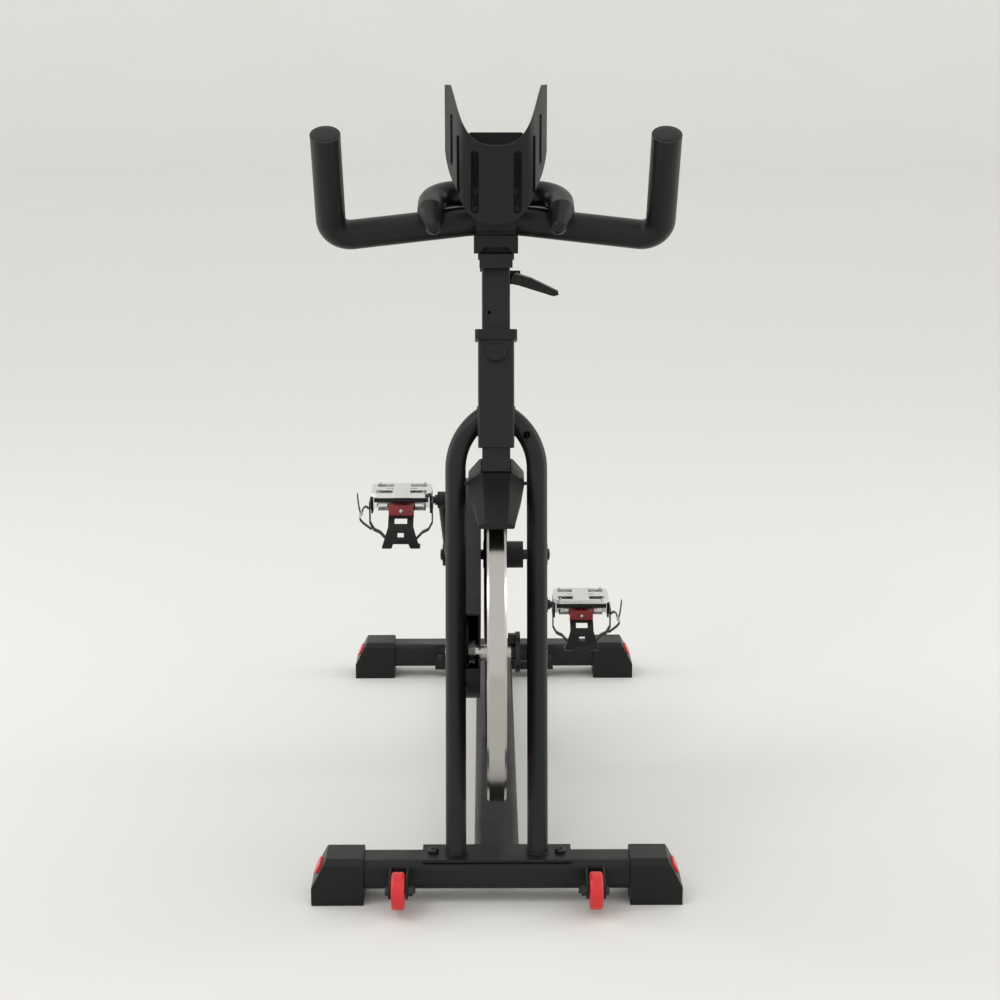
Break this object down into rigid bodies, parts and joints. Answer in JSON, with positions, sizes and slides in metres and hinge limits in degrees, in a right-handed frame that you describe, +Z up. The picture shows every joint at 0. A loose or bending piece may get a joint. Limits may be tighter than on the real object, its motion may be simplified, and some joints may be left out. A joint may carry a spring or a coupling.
{
  "type": "indoor exercise cycle",
  "caption": "Belt-drive indoor cycle with a leaned fork, exposed steel flywheel, horned handlebar, bottle holder, toe-clip pedals and adjustable saddle.",
  "frame": {"origin": "on the floor, midway along and across the whole bike", "axes": "+Z up, front faces -Y, +X to the rider's left"},
  "size_m": [0.54, 1.1729, 1.163],
  "materials": {
    "frame_black": "satin black powder coat",
    "black_plastic": "fine-grained moulded black",
    "grip_foam": "soft black grip covering",
    "red_plastic": "moulded red",
    "red_tyre": "red polyurethane",
    "flywheel_steel": "turned and polished steel",
    "steel": "bright zinc-plated steel",
    "black_steel": "black oxide fasteners",
    "alloy": "cast and polished alloy",
    "belt_rubber": "ribbed black belt",
    "brake_black": "black pad and holder",
    "strap": "black woven strap",
    "saddle_cover": "black synthetic leather"
  },
  "bodies": {
    "frame": {"front_stabiliser": "frame_black", "rear_stabiliser": "frame_black", "end_caps": "black_plastic", "cap_inserts": "red_plastic", "front_base_plate": "frame_black", "rear_base_plate": "frame_black", "base_beam": "frame_black", "base_bolts": "black_steel", "fork_legs": "frame_black", "head_sleeve": "frame_black", "post_collars": "black_plastic", "main_tube": "frame_black", "seat_tube": "frame_black", "crank_shell": "frame_black", "wheel_dropouts": "frame_black", "front_shroud": "black_plastic", "belt_cover_inner": "black_plastic", "belt_cover_outer": "black_plastic", "drive_belt": "belt_rubber", "flywheel_axle": "steel", "axle_nuts": "black_steel", "bearings": "steel", "caster_brackets": "frame_black", "caster_bolts": "black_steel"},
    "flywheel": {"flywheel_disc": "flywheel_steel", "flywheel_hub": "flywheel_steel", "flywheel_pulley": "steel"},
    "crank": {"crank_spindle": "black_steel", "crank_pulley": "black_plastic", "crank_arm_right": "frame_black", "crank_arm_left": "frame_black", "pedal_spindles": "black_steel"},
    "right_pedal": {"pedal_body_right": "alloy", "pedal_clip_right": "red_plastic", "toe_cage_right": "black_plastic", "toe_strap_right": "strap"},
    "left_pedal": {"pedal_body_left": "alloy", "pedal_clip_left": "red_plastic", "toe_cage_left": "black_plastic", "toe_strap_left": "strap"},
    "handlebar_mast": {"handlebar_post": "frame_black"},
    "handlebar_carriage": {"slider_head": "black_plastic", "handlebar": "grip_foam", "inner_grips": "grip_foam", "bottle_holder": "black_plastic", "holder_bracket": "frame_black", "holder_screws": "black_steel"},
    "handlebar_clamp": {"clamp_lever": "black_plastic"},
    "head_pull_pin": {"head_pin": "black_plastic"},
    "seat_mast": {"seat_post": "frame_black"},
    "saddle_carriage": {"seat_slider": "frame_black", "saddle_rails": "steel", "saddle": "saddle_cover"},
    "seat_pull_pin": {"seat_pin": "black_plastic"},
    "saddle_clamp": {"seat_clamp_knob": "black_plastic"},
    "brake_plunger": {"brake_rod": "steel"},
    "brake_pad": {"brake_shoe": "brake_black"},
    "resistance_dial": {"resistance_knob": "black_plastic"},
    "right_transport_wheel": {"transport_wheel_right": "red_tyre"},
    "left_transport_wheel": {"transport_wheel_left": "red_tyre"}
  },
  "joints": [
    {"name": "flywheel_spin", "type": "hinge", "parent": "frame", "child": "flywheel", "pos_m": [0, -0.3665, 0.338], "axis": [1, 0, 0], "continuous": true},
    {"name": "crank_spin", "type": "hinge", "parent": "frame", "child": "crank", "pos_m": [0, 0.0435, 0.378], "axis": [1, 0, 0], "continuous": true},
    {"name": "right_pedal_spin", "type": "hinge", "parent": "crank", "child": "right_pedal", "pos_m": [-0.15, -0.0745, 0.5008], "axis": [1, 0, 0], "continuous": true},
    {"name": "left_pedal_spin", "type": "hinge", "parent": "crank", "child": "left_pedal", "pos_m": [0.15, 0.1615, 0.2552], "axis": [1, 0, 0], "continuous": true},
    {"name": "handlebar_height", "type": "slide", "parent": "frame", "child": "handlebar_mast", "axis": [0, 0.2334, 0.9724], "range_m": [-0.03, 0.09]},
    {"name": "handlebar_fore_aft", "type": "slide", "parent": "handlebar_mast", "child": "handlebar_carriage", "axis": [0, 1, 0], "range_m": [-0.03, 0.04]},
    {"name": "handlebar_clamp_turn", "type": "hinge", "parent": "handlebar_mast", "child": "handlebar_clamp", "pos_m": [0.03, -0.284, 0.884], "axis": [0, 1, 0], "range_deg": [-12, 40]},
    {"name": "head_pin_pull", "type": "slide", "parent": "frame", "child": "head_pull_pin", "axis": [0, -0.9724, 0.2334], "range_m": [0, 0.008], "stiffness_N_per_m": 600},
    {"name": "seat_height", "type": "slide", "parent": "frame", "child": "seat_mast", "axis": [0, 0.3827, 0.9239], "range_m": [-0.09, 0.1]},
    {"name": "saddle_fore_aft", "type": "slide", "parent": "seat_mast", "child": "saddle_carriage", "axis": [0, 1, 0], "range_m": [-0.015, 0.015]},
    {"name": "seat_pin_pull", "type": "slide", "parent": "frame", "child": "seat_pull_pin", "axis": [0, 0.9239, -0.3827], "range_m": [0, 0.008], "stiffness_N_per_m": 600},
    {"name": "saddle_clamp_turn", "type": "hinge", "parent": "seat_mast", "child": "saddle_clamp", "pos_m": [0, 0.385, 0.8], "axis": [0, 0, 1], "range_deg": [-360, 0]},
    {"name": "brake_push", "type": "slide", "parent": "frame", "child": "brake_plunger", "axis": [0, -0.3651, -0.931], "range_m": [0, 0.0015], "stiffness_N_per_m": 3000},
    {"name": "resistance_turn", "type": "hinge", "parent": "brake_plunger", "child": "resistance_dial", "pos_m": [0, -0.22046, 0.71039], "axis": [0, -0.3651, -0.931], "range_deg": [0, 720]},
    {"name": "brake_pad_feed", "type": "slide", "parent": "brake_plunger", "child": "brake_pad", "axis": [0, -0.3651, -0.931], "range_m": [0, 0.0012]},
    {"name": "right_transport_wheel_spin", "type": "hinge", "parent": "frame", "child": "right_transport_wheel", "pos_m": [-0.142, -0.5495, 0.038], "axis": [1, 0, 0], "continuous": true},
    {"name": "left_transport_wheel_spin", "type": "hinge", "parent": "frame", "child": "left_transport_wheel", "pos_m": [0.142, -0.5495, 0.038], "axis": [1, 0, 0], "continuous": true}
  ],
  "couplings": [
    {"joint": "crank_spin", "follows": "flywheel_spin", "ratio": 0.18182},
    {"joint": "brake_pad_feed", "follows": "resistance_turn", "m_per_rad": 0.000095493}
  ]
}
